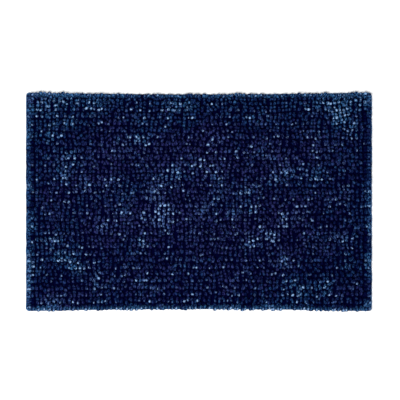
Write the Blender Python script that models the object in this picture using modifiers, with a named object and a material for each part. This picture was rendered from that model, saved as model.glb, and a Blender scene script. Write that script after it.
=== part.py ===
"""A tufted cotton loop-pile bath mat, 80 x 50 cm, lying flat.

Frame: metres, +Z up, +X along the mat's length, origin on the floor under its centre.
From the floor up: the non-slip coating and the turned-under hem, the base cloth, the pile.
The pile yarns run along Y, across the mat's width, at a tufting gauge of 3/8 inch.
"""

import math

import bmesh
import bpy

# ---- driving dimensions, in metres ----
MAT_LENGTH = 0.800
MAT_WIDTH = 0.500
MAT_HEIGHT = 0.018
CORNER_RADIUS = 0.008
PILE_ROWS = 84
ROWS_PER_PIECE = 2

GAP = 0.0003
CLOTH_THICKNESS = 0.0010
HEM_SLIT = 0.0008
HEM_WIDTH = 0.018
SIDE_FOLD_SHOWS = 0.003
END_FOLD_SHOWS = 0.001
MITRE_SLIT = 0.0004

COATING_THICKNESS = 0.0014

THREAD_RADIUS = 0.00025
THREAD_LIFT = 0.00002
GROOVE_RADIUS = 0.00042
SEAM_FROM_FOLD = 0.012
SEAM_CORNER_RADIUS = 0.003

LABEL_WIDTH = 0.030
LABEL_THICKNESS = 0.00025
LABEL_LENGTH = 0.052
LABEL_TUCK = 0.004
LABEL_CENTRE_X = 0.300
LABEL_CLEARANCE = 0.002
LABEL_CORNER = 0.001
LABEL_BAY_CORNER = 0.003

# ---- dimensions worked out from those ----
PILE_LENGTH = MAT_LENGTH - 2 * SIDE_FOLD_SHOWS
PILE_WIDTH = MAT_WIDTH - 2 * END_FOLD_SHOWS
PILE_CORNER = CORNER_RADIUS - END_FOLD_SHOWS
ROW_PITCH = (PILE_LENGTH + GAP) / PILE_ROWS
PIECE_PITCH = ROW_PITCH * ROWS_PER_PIECE
PIECE_WIDTH = PIECE_PITCH - GAP
ROW_ROUND = 0.45 * ROW_PITCH
ROW_OVERLAP = 0.0004

PANEL_BOTTOM = CLOTH_THICKNESS + HEM_SLIT
PANEL_TOP = PANEL_BOTTOM + CLOTH_THICKNESS
SLIT_MIDDLE = (CLOTH_THICKNESS + PANEL_BOTTOM) / 2
FOLD_THICKNESS = 1.2 * CLOTH_THICKNESS
PILE_BOTTOM = PANEL_TOP + GAP

INNER_LENGTH = MAT_LENGTH - 2 * HEM_WIDTH
INNER_WIDTH = MAT_WIDTH - 2 * HEM_WIDTH
INNER_CORNER = 0.0015
CUT_PAST = 0.001

# ---- fineness of the curves ----
ROUND_SEGMENTS = 2
SMALL_CORNER_SEGMENTS = 2
BAY_CORNER_SEGMENTS = 3
FOLD_SEGMENTS = 3
CORNER_SEGMENTS = 6
SEAM_CORNER_POINTS = 4
THREAD_RESOLUTION = 2
ROUNDED_ABOVE = math.radians(60)
SHARP_ABOVE = math.radians(40)
WELD_DISTANCE = 0.000001

NAVY_YARN = (0.016, 0.030, 0.110, 1.0)
NAVY_CLOTH = (0.010, 0.018, 0.062, 1.0)
NAVY_THREAD = (0.024, 0.042, 0.140, 1.0)
LATEX_GREY = (0.560, 0.570, 0.560, 1.0)
SATIN_WHITE = (0.820, 0.820, 0.800, 1.0)
COTTON_ROUGHNESS = 0.95
THREAD_ROUGHNESS = 0.60
LATEX_ROUGHNESS = 0.70
SATIN_ROUGHNESS = 0.45


def clear_scene():
    for obj in list(bpy.data.objects):
        bpy.data.objects.remove(obj)


def new_collection(name):
    collection = bpy.data.collections.new(name)
    bpy.context.scene.collection.children.link(collection)
    return collection


def make_material(name, colour, roughness):
    material = bpy.data.materials.new(name)
    material.use_nodes = True
    shader = material.node_tree.nodes["Principled BSDF"]
    shader.inputs["Base Color"].default_value = colour
    shader.inputs["Roughness"].default_value = roughness
    shader.inputs["Metallic"].default_value = 0.0
    return material


def place(name, mesh, collection, material=None):
    obj = bpy.data.objects.new(name, mesh)
    collection.objects.link(obj)
    if material:
        mesh.materials.clear()
        mesh.materials.append(material)
    return obj


def block_mesh(name, length, width, low, high, corner=0.0, segments=CORNER_SEGMENTS):
    """A box centred on Z, from low to high, with its four upright edges rounded to the radius corner."""
    bm = bmesh.new()
    bmesh.ops.create_cube(bm, size=1.0)
    bmesh.ops.scale(bm, vec=(length, width, high - low), verts=bm.verts)
    bmesh.ops.translate(bm, vec=(0, 0, (low + high) / 2), verts=bm.verts)
    if corner:
        upright = [e for e in bm.edges if abs(e.verts[0].co.z - e.verts[1].co.z) > (high - low) / 2]
        bmesh.ops.bevel(bm, geom=upright, offset=corner, segments=segments, profile=0.5, affect="EDGES")
    mesh = bpy.data.meshes.new(name)
    bm.to_mesh(mesh)
    bm.free()
    return mesh


def cutter(name, mesh, collection):
    obj = place(name, mesh, collection)
    obj.hide_render = True
    obj.display_type = "WIRE"
    return obj


def boolean(obj, operation, other):
    modifier = obj.modifiers.new(f"{operation.lower()} {other.name}", "BOOLEAN")
    modifier.operation = operation
    modifier.solver = "EXACT"
    modifier.object = other


def round_edges(obj, width, segments):
    modifier = obj.modifiers.new("round", "BEVEL")
    modifier.width = width
    modifier.segments = segments
    modifier.limit_method = "ANGLE"
    modifier.angle_limit = ROUNDED_ABOVE


def smooth(mesh):
    mesh.shade_smooth()
    mesh.set_sharp_from_angle(angle=SHARP_ABOVE)


def rounded_path(length, width, radius, per_corner):
    """Points round a rectangle with round corners, per_corner of them on each quarter turn."""
    points = []
    for quarter in range(4):
        side_x = 1 if quarter in (0, 3) else -1
        side_y = 1 if quarter in (0, 1) else -1
        for step in range(per_corner):
            angle = math.pi / 2 * (quarter + step / (per_corner - 1))
            points.append(
                (
                    side_x * (length / 2 - radius) + radius * math.cos(angle),
                    side_y * (width / 2 - radius) + radius * math.sin(angle),
                )
            )
    return points


def seam_curve(name, radius, height, collection):
    """A round thread along the hem's seam line, as one closed curve."""
    data = bpy.data.curves.new(name, "CURVE")
    data.dimensions = "3D"
    data.bevel_depth = radius
    data.bevel_resolution = THREAD_RESOLUTION
    path = rounded_path(
        MAT_LENGTH - 2 * SEAM_FROM_FOLD,
        MAT_WIDTH - 2 * SEAM_FROM_FOLD,
        SEAM_CORNER_RADIUS,
        SEAM_CORNER_POINTS,
    )
    spline = data.splines.new("POLY")
    spline.points.add(len(path) - 1)
    for point, (x, y) in zip(spline.points, path):
        point.co = (x, y, height, 1.0)
    spline.use_cyclic_u = True
    obj = bpy.data.objects.new(name, data)
    collection.objects.link(obj)
    return obj


def evaluated_mesh(obj):
    """The object's shape with its modifiers applied, as a mesh of its own."""
    bpy.context.view_layer.update()
    graph = bpy.context.evaluated_depsgraph_get()
    mesh = bpy.data.meshes.new_from_object(obj.evaluated_get(graph))
    mesh.transform(obj.matrix_world)
    bm = bmesh.new()
    bm.from_mesh(mesh)
    bmesh.ops.remove_doubles(bm, verts=bm.verts, dist=WELD_DISTANCE)
    bm.to_mesh(mesh)
    bm.free()
    return mesh


def make_base_cloth(parts, helpers, material):
    """The cloth that the yarn is stitched through, its margin turned under all round and mitred."""
    mesh = block_mesh("base_cloth", MAT_LENGTH, MAT_WIDTH, 0, PANEL_TOP, CORNER_RADIUS)
    cloth = place("base_cloth", mesh, parts, material)
    round_edges(cloth, FOLD_THICKNESS, FOLD_SEGMENTS)

    slit = block_mesh(
        "hem_slit",
        MAT_LENGTH - 2 * FOLD_THICKNESS,
        MAT_WIDTH - 2 * FOLD_THICKNESS,
        CLOTH_THICKNESS,
        PANEL_BOTTOM,
        CORNER_RADIUS - FOLD_THICKNESS,
    )
    boolean(cloth, "DIFFERENCE", cutter("hem_slit", slit, helpers))

    middle = block_mesh(
        "coating_space",
        INNER_LENGTH,
        INNER_WIDTH,
        -CUT_PAST,
        SLIT_MIDDLE,
        INNER_CORNER,
        SMALL_CORNER_SEGMENTS,
    )
    boolean(cloth, "DIFFERENCE", cutter("coating_space", middle, helpers))

    groove = seam_curve("seam_groove", GROOVE_RADIUS, THREAD_RADIUS + THREAD_LIFT, helpers)
    groove_mesh = evaluated_mesh(groove)
    bpy.data.objects.remove(groove)
    boolean(cloth, "DIFFERENCE", cutter("seam_groove", groove_mesh, helpers))

    reach = HEM_WIDTH - FOLD_THICKNESS
    for side_x in (-1, 1):
        for side_y in (-1, 1):
            mitre = block_mesh("mitre", reach * math.sqrt(2), MITRE_SLIT, -CUT_PAST, SLIT_MIDDLE)
            slot = cutter(f"mitre_{side_x}_{side_y}", mitre, helpers)
            slot.location = (
                side_x * (INNER_LENGTH / 2 + reach / 2 - CUT_PAST),
                side_y * (INNER_WIDTH / 2 + reach / 2 - CUT_PAST),
                0,
            )
            slot.rotation_euler.z = side_x * side_y * math.pi / 4
            boolean(cloth, "DIFFERENCE", slot)


def make_coating(parts, helpers, material):
    """The latex coat under the cloth, inside the hem, with a bay left clear for the label."""
    mesh = block_mesh(
        "latex_coating",
        INNER_LENGTH - 2 * GAP,
        INNER_WIDTH - 2 * GAP,
        0,
        COATING_THICKNESS,
        INNER_CORNER,
        SMALL_CORNER_SEGMENTS,
    )
    coating = place("latex_coating", mesh, parts, material)
    bay_width = LABEL_WIDTH + 2 * LABEL_CLEARANCE
    bay_depth = LABEL_LENGTH - LABEL_TUCK + LABEL_CLEARANCE
    bay_mesh = block_mesh(
        "label_bay",
        bay_width,
        2 * bay_depth,
        -CUT_PAST,
        COATING_THICKNESS + CUT_PAST,
        LABEL_BAY_CORNER,
        BAY_CORNER_SEGMENTS,
    )
    bay = cutter("label_bay", bay_mesh, helpers)
    bay.location = (LABEL_CENTRE_X, -INNER_WIDTH / 2, 0)
    boolean(coating, "DIFFERENCE", bay)


def make_label(parts, material):
    """A plain satin care label whose near end is caught in the hem."""
    mesh = block_mesh(
        "care_label",
        LABEL_WIDTH,
        LABEL_LENGTH,
        SLIT_MIDDLE - LABEL_THICKNESS / 2,
        SLIT_MIDDLE + LABEL_THICKNESS / 2,
        LABEL_CORNER,
        SMALL_CORNER_SEGMENTS,
    )
    label = place("care_label", mesh, parts, material)
    label.location = (LABEL_CENTRE_X, -INNER_WIDTH / 2 - LABEL_TUCK + LABEL_LENGTH / 2, 0)


def make_seam(parts, material):
    """The thread that holds the hem, sunk in its groove on the underside."""
    seam = seam_curve("hem_seam_thread", THREAD_RADIUS, THREAD_RADIUS + THREAD_LIFT, parts)
    seam.data.materials.append(material)


def row_x(row):
    return (row - (PILE_ROWS - 1) / 2) * ROW_PITCH


def row_length(row):
    """A row's length: the pile's width, less what the round corner takes from the outermost rows."""
    into_corner = max(0.0, abs(row_x(row)) - (PILE_LENGTH / 2 - PILE_CORNER))
    return PILE_WIDTH - 2 * (PILE_CORNER - math.sqrt(PILE_CORNER**2 - into_corner**2))


def row_bar(name, x, length, collection):
    """One row of loops as a bar with a round crown and round ends, flat underneath."""
    bm = bmesh.new()
    bmesh.ops.create_cube(bm, size=1.0)
    width = (PIECE_WIDTH + ROW_OVERLAP) / ROWS_PER_PIECE
    bmesh.ops.scale(bm, vec=(width, length, MAT_HEIGHT - PILE_BOTTOM), verts=bm.verts)
    bmesh.ops.translate(bm, vec=(x, 0, (MAT_HEIGHT + PILE_BOTTOM) / 2), verts=bm.verts)
    not_under = [e for e in bm.edges if max(v.co.z for v in e.verts) > MAT_HEIGHT - GAP]
    bmesh.ops.bevel(
        bm, geom=not_under, offset=ROW_ROUND, segments=ROUND_SEGMENTS, profile=0.5, affect="EDGES"
    )
    mesh = bpy.data.meshes.new(name)
    bm.to_mesh(mesh)
    bm.free()
    return place(name, mesh, collection)


def pile_mesh(name, lengths, helpers):
    """Two neighbouring rows joined side by side, centred on x = 0."""
    offset = (PIECE_WIDTH - (PIECE_WIDTH + ROW_OVERLAP) / ROWS_PER_PIECE) / 2
    left = row_bar(f"{name}_left", -offset, lengths[0], helpers)
    right = row_bar(f"{name}_right", offset, lengths[1], helpers)
    boolean(left, "UNION", right)
    mesh = evaluated_mesh(left)
    for bar in (left, right):
        bpy.data.objects.remove(bar)
    mesh.name = name
    smooth(mesh)
    return mesh


def make_pile(parts, helpers, material):
    """The rows of loops, in pairs. Pairs of the same two lengths share one mesh."""
    meshes = {}
    for piece in range(PILE_ROWS // ROWS_PER_PIECE):
        rows = (ROWS_PER_PIECE * piece, ROWS_PER_PIECE * piece + 1)
        lengths = tuple(round(row_length(row), 6) for row in rows)
        if lengths not in meshes:
            meshes[lengths] = pile_mesh(f"pile_{len(meshes)}", lengths, helpers)
        name = f"pile_rows_{rows[0] + 1:02d}_{rows[1] + 1:02d}"
        pair = place(name, meshes[lengths], parts, material)
        pair.location.x = (row_x(rows[0]) + row_x(rows[1])) / 2


def main():
    clear_scene()
    parts = new_collection("bath_mat")
    helpers = new_collection("cutters")
    yarn = make_material("pile_yarn", NAVY_YARN, COTTON_ROUGHNESS)
    cloth = make_material("base_cloth", NAVY_CLOTH, COTTON_ROUGHNESS)
    thread = make_material("sewing_thread", NAVY_THREAD, THREAD_ROUGHNESS)
    latex = make_material("latex", LATEX_GREY, LATEX_ROUGHNESS)
    satin = make_material("satin_label", SATIN_WHITE, SATIN_ROUGHNESS)
    make_base_cloth(parts, helpers, cloth)
    make_coating(parts, helpers, latex)
    make_label(parts, satin)
    make_seam(parts, thread)
    make_pile(parts, helpers, yarn)


main()
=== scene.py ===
"""The look of a tufted cotton bath mat: rows of yarn loops on a hemmed base cloth, with a latex back.

Metres, +Z up. X runs along the mat, Y across it and along the pile rows, and the floor is at z = 0.
The mat is dyed navy and then washed out, so the crowns of its loops are rubbed pale in drifts.
"""

import math

import bmesh
import bpy
import numpy as np
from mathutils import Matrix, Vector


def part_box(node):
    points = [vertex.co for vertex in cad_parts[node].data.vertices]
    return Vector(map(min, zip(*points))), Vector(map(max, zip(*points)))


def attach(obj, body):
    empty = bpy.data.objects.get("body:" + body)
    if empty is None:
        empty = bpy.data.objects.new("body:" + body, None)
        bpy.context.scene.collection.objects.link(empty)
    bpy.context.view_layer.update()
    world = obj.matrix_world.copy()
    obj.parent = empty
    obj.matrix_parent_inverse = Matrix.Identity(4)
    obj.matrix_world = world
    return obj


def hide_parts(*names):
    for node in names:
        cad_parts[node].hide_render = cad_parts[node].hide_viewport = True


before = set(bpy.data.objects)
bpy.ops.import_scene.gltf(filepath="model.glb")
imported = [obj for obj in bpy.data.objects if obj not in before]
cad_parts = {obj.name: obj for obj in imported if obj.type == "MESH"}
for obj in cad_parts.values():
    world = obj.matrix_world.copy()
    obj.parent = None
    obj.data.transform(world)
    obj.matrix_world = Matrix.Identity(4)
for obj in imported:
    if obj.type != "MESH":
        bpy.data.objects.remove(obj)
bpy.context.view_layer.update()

# ---- the mat's plan, from the frame ----
cloth_lo, cloth_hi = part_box("base_cloth")
HALF_LENGTH = (cloth_hi.x - cloth_lo.x) / 2
HALF_WIDTH = (cloth_hi.y - cloth_lo.y) / 2
PANEL_TOP = cloth_hi.z
PILE_NODES = sorted(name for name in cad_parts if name.startswith("pile_rows_"))
ROWS_PER_NODE = 2
ROWS = ROWS_PER_NODE * len(PILE_NODES)
PILE_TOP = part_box(PILE_NODES[0])[1].z
WAIST = 0.018

# ---- the loops ----
LOOPS = 63
RINGS_PER_LOOP = 8
SIDES = 6
LOOP_PITCH = 2 * HALF_WIDTH / LOOPS
CROWN_RING_CROWDING = 0.28
ROOT_Z = 0.0040
CROWN_Z = 0.0148
LOW_LOOP_DROP = 0.0030
TALL_LOOP_SHARE = 0.58
LOOP_SPREAD = 0.0006
CROWN_SQUARENESS = 0.60
ROOT_HALF_WIDTH = 0.0014
ROOT_HALF_THICKNESS = 0.0011
YARN_HALF_WIDTH = 0.0037
YARN_HALF_THICKNESS = 0.0024
YARN_SEED = 41

# ---- how the loops lie ----
LEAN = -0.0030
TALL_LEAN_SHARE = 0.6
LOW_LEAN_SHARE = 1.3
EDGE_LEAN = 0.0007
TOP_END_LEAN = 0.0020
TOP_END_LEAN_STEP = 0.0012
LOW_END_LEAN = -0.0014
EDGE_DROP = 0.0014
CORNER_PULL = 0.0060
CORNER_REACH = 0.030
SIDE_CROWDING = 0.0012
SIDE_ROWS = 4
END_LOOPS = 4

# ---- how far the loops stray from that: the first of a pair together, the second each on its own ----
WANDER_ACROSS = (0.0018, 0.0007)
ROW_WANDER = 0.0006
WANDER_ALONG = (0.0010, 0.0012)
SWAY_ALONG = (0.0008, 0.0011)
SWAY_ACROSS = (0.0018, 0.0016)
SWAY_OF_TOP_END = 0.0014
TURN_DEGREES = (13, 16)
CROWN_SWELL = (0.0005, 0.0010)
FATNESS_SPREAD = 0.18
OUTER_FATNESS = 0.25
SIDE_ROW_BREADTHS = (0.8, 0.4)

# ---- how the loops are worn, with painted sheen on the outermost loops and painted shade at the roots ----
BASE_WASH = 0.07
CLOUDS = (0.06, 0.08)
TOP_END_WASH_AND_SHEEN = 0.36
LOW_END_WASH_AND_SHEEN = 0.80
TOP_BAND_WASH = 0.10
LEFT_ROW_WASH_AND_SHEEN = 0.06
OWN_BLUE = 0.35
# Clearance of the dark root, darker dye and painted shade, for low loops and for washed loops.
LOW_LOOP_CLEAR_OF_ROOT_SHADE = 0.82
WASHED_CLEAR_OF_ROOT_SHADE = 0.55
LUCKY_RUB = 1.08
DRIFT_RUB = 1.15
CORNER_HAZE = 0.55
VIOLET_AT_EDGE = 0.30
VIOLET_IN_MIDDLE = 0.60
VIOLET_SPREAD = (0.25, 0.28)

# ---- a loop's own shape and where its wear and painted shade sit, by height share from root 0 to crown 1 ----
BREADTH_CURVE = 0.6
FATNESS_CURVE = 0.5
CROWN_BAND = (0.88, 1.0)
CROWN_SPOT = (0.42, 0.97)
SHADED_FLANK = 0.45

# ---- the base cloth and its hem, between the levels that the frame gives ----
CLOTH = 0.0010
CLOTH_CORNER = 0.008
FOLD_RISE = 0.0002
HEM_WIDTH = 0.018
SEAM_FROM_FOLD = 0.012
SEAM_CORNER = 0.003
PANEL_INSET = 0.030
HEM_STEP = 0.0025
CORNER_POINTS = 6
FOLD_STEPS = 9
FOLD_HOLLOW = 0.0004
FLAP_LIFT = 0.00005
SEAM_GROOVE_REACH = 0.0020
SEAM_GROOVE_DEPTH = 0.0005
RAW_EDGE_RIPPLE = 0.00025

# ---- stitches, latex and label ----
STITCH = 0.0030
RINGS_PER_STITCH = 5
THREAD_RADIUS = 0.00026
THREAD_CLEARANCE = 0.00004
STITCH_DIP = 0.00050
LATEX_STEPS_PER_ROW = 4
LATEX_STEPS_PER_LOOP = 5
LATEX_EDGE = 0.0006
LATEX_CLEARANCE = 0.00008
LATEX_RIPPLE = 0.00005
BACK_STITCH_RELIEF = 0.0006
LABEL_BAY_CLEARANCE = 0.002
RIBBON_THICKNESS = 0.00012
RIBBON_WAVE = 0.00022
RIBBON_DROP = 0.0002
RIBBON_GRID = (25, 41)
TINY = 1e-6

# ---- the view from above ----
VIEW_WIDTH = 0.9211
VIEW_CENTRE = (0.0024, 0.0042)
VIEW_DISTANCE = 4.0
SENSOR_WIDTH = 36.0

# ---- light and floor ----
SURROUND_STRENGTH = 0.50
LAMP_SIZE = (1.6, 1.0)
LAMP_POWER = 70.0
LAMP_PLACE = (-0.3, -0.5, 2.4)
FLOOR_SIZE = 12.0
FLOOR_LEVEL = -0.0001

# ---- colours ----
# Darkest navy: the cloth's dye and the yarn's dark strands, and also the colour of painted shade.
DARK_NAVY_AND_SHADE = (0.0006, 0.0008, 0.018, 1.0)
DEEP_VIOLET = (0.0195, 0.0220, 0.102, 1.0)
DEEP_NAVY = (0.0082, 0.0260, 0.103, 1.0)
WASHED_TEAL = (0.028, 0.100, 0.235, 1.0)
WASHED_BLUE = (0.052, 0.102, 0.270, 1.0)
RUBBED_BLUE = (0.240, 0.395, 0.640, 1.0)
THREAD_NAVY = (0.012, 0.026, 0.100, 1.0)
LATEX_GREY = (0.500, 0.515, 0.505, 1.0)
LATEX_DIRTY = (0.400, 0.405, 0.385, 1.0)
LATEX_PIT_SHADE = (0.220, 0.230, 0.220, 1.0)
YARN_THROUGH_LATEX = (0.110, 0.135, 0.230, 1.0)
SATIN = (0.780, 0.785, 0.770, 1.0)
SATIN_AGED = (0.70, 0.71, 0.72, 1.0)
SATIN_GAP_SHADE = (0.45, 0.46, 0.48, 1.0)
FLOOR_GREY = (0.90, 0.90, 0.90, 1.0)
FLOOR_WHITE = (0.92, 0.92, 0.92, 1.0)
COOL_WHITE = (0.95, 0.97, 1.0, 1.0)


def waves(x, y, size, seed):
    """A smooth random field about 0 with a spread of 1.

    It is the sum of plane cosine waves of wavelengths near size, in random directions and phases.
    """
    rng = np.random.default_rng(seed)
    count = 14
    heading = rng.uniform(0, 2 * np.pi, count)
    wave_number = 2 * np.pi / (size * rng.uniform(0.7, 1.5, count))
    phase = rng.uniform(0, 2 * np.pi, count)
    along = x[..., None] * np.cos(heading) + y[..., None] * np.sin(heading)
    return np.cos(along * wave_number + phase).sum(-1) * math.sqrt(2 / count)


def ease(value, low, high):
    """0 below low, 1 above high, and the smooth cubic 3t^2 - 2t^3 between."""
    t = np.clip((value - low) / (high - low), 0, 1)
    return t * t * (3 - 2 * t)


def waisted(points):
    """The long sides draw in towards the middle: y is scaled by 1 + WAIST * ((x / half length)^2 - 1/3)."""
    shaped = points.copy()
    shaped[..., 1] *= 1 + WAIST * ((points[..., 0] / HALF_LENGTH) ** 2 - 1 / 3)
    return shaped


# ---------------------------------------------------------------- meshes from whole arrays


def put_mesh(name, points, faces):
    """A mesh object from an array of points and a list of index arrays, one array for each face size."""
    sizes = np.concatenate([np.full(len(group), group.shape[1]) for group in faces])
    corners = np.concatenate([group.ravel() for group in faces]).astype(np.int32)
    mesh = bpy.data.meshes.new(name)
    mesh.vertices.add(len(points))
    mesh.vertices.foreach_set("co", points.astype(np.float32).ravel())
    mesh.loops.add(len(corners))
    mesh.loops.foreach_set("vertex_index", corners)
    mesh.polygons.add(len(sizes))
    mesh.polygons.foreach_set("loop_start", (np.cumsum(sizes) - sizes).astype(np.int32))
    mesh.update(calc_edges=True)
    mesh.shade_smooth()
    obj = bpy.data.objects.new(name, mesh)
    bpy.context.scene.collection.objects.link(obj)
    return obj


def put_values(obj, name, values):
    """One number for each point, that a material reads by name."""
    layer = obj.data.attributes.new(name, "FLOAT", "POINT")
    layer.data.foreach_set("value", np.broadcast_to(values, len(obj.data.vertices)).astype(np.float32))


def put_uv(obj, uv):
    """A UV map from an array with one (u, v) for each face corner."""
    layer = obj.data.uv_layers.new(name="along")
    layer.data.foreach_set("uv", uv.astype(np.float32).ravel())


def dress(obj, material, node):
    """Gives a piece its material, the part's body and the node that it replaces."""
    obj.data.materials.append(material)
    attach(obj, "root")
    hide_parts(node)
    return obj


def unit(vectors):
    """The same directions at length 1."""
    return vectors / np.maximum(np.linalg.norm(vectors, axis=-1, keepdims=True), 1e-12)


def yarn_surface(path, side, half_width, half_thickness, sides):
    """Round yarns swept along paths, as points and their outward directions.

    path is (yarns, rings, 3). At each ring the section is an ellipse: half_width along side, squared
    to the path, and half_thickness along the third direction, side x path. Each ring starts on the
    inside of the loop, which hides the seam of the yarn's map.
    """
    along = unit(np.gradient(path, axis=1))
    across = unit(side - (side * along).sum(-1, keepdims=True) * along)
    up = np.cross(across, along)
    angle = np.pi + 2 * np.pi * np.arange(sides) / sides
    cos = np.cos(angle)[:, None]
    sin = np.sin(angle)[:, None]
    width = half_width[..., None, None]
    thickness = half_thickness[..., None, None]
    offset = width * sin * across[:, :, None] + thickness * cos * up[:, :, None]
    outward = sin * across[:, :, None] / width + cos * up[:, :, None] / thickness
    return path[:, :, None] + offset, unit(outward)


def yarn_faces(yarns, rings, sides):
    """Quads round each ring to ring step, and a flat cap at each end of each yarn."""
    index = np.arange(yarns * rings * sides).reshape(yarns, rings, sides)
    after = np.roll(index, -1, axis=2)
    quads = np.stack([index[:, :-1], after[:, :-1], after[:, 1:], index[:, 1:]], axis=-1)
    start = index[:, 0, ::-1]
    end = index[:, -1]
    return quads.reshape(-1, 4), np.concatenate([start, end])


def yarn_uv(yarns, rings, sides, along):
    """u goes once round the yarn, and v is the length along it in metres, on quads and then on caps."""
    round_it = np.arange(sides) / sides
    step = 1 / sides
    shape = (yarns, rings - 1, sides)
    u0 = np.broadcast_to(round_it, shape)
    v0 = np.broadcast_to(along[:, :-1, None], shape)
    v1 = np.broadcast_to(along[:, 1:, None], shape)
    quads = np.stack([u0, v0, u0 + step, v0, u0 + step, v1, u0, v1], axis=-1).reshape(-1, 2)
    start = np.stack(np.broadcast_arrays(round_it[::-1], along[:, :1]), axis=-1).reshape(-1, 2)
    end = np.stack(np.broadcast_arrays(round_it, along[:, -1:]), axis=-1).reshape(-1, 2)
    return np.concatenate([quads, start, end])


def rounded_rectangle(half_length, half_width, radius, step):
    """The points of a rectangle with round corners, anticlockwise from the lower right.

    A corner is a quarter of a circle. Each side has a point about every step of the mat's own outline,
    so rings of different sizes have as many points and can be joined.
    """
    quarter = np.linspace(-np.pi / 2, 0, CORNER_POINTS)
    across = int(2 * HALF_LENGTH / step)
    along = int(2 * HALF_WIDTH / step)
    corners = ((1, -1, along), (1, 1, across), (-1, 1, along), (-1, -1, across))
    points = []
    for number, (sign_x, sign_y, count) in enumerate(corners):
        angle = quarter + number * np.pi / 2
        facing = np.stack([np.cos(angle), np.sin(angle)], axis=-1)
        inner = np.array([half_length - radius, half_width - radius])
        arc = inner * [sign_x, sign_y] + radius * facing
        next_x, next_y, _ = corners[(number + 1) % len(corners)]
        target = inner * [next_x, next_y] + radius * facing[-1]
        share = (np.arange(count) + 1)[:, None] / (count + 1)
        points += [arc, arc[-1] + (target - arc[-1]) * share]
    return np.concatenate(points)


def loft_faces(rings, count):
    """Quads between closed rings that lie one after the other, and the indices of the first and last."""
    index = np.arange(rings * count).reshape(rings, count)
    after = np.roll(index, -1, axis=1)
    quads = np.stack([index[:-1], after[:-1], after[1:], index[1:]], axis=-1)
    return quads.reshape(-1, 4), index[0], index[-1]


# ---------------------------------------------------------------- the pile


def row_ends():
    """Each row's x and its lowest and highest y, read from the pile nodes."""
    rows = []
    for name in PILE_NODES:
        lo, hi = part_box(name)
        for row in range(ROWS_PER_NODE):
            rows.append((lo.x + (hi.x - lo.x) * (row + 0.5) / ROWS_PER_NODE, lo.y, hi.y))
    return np.array(rows)


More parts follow.
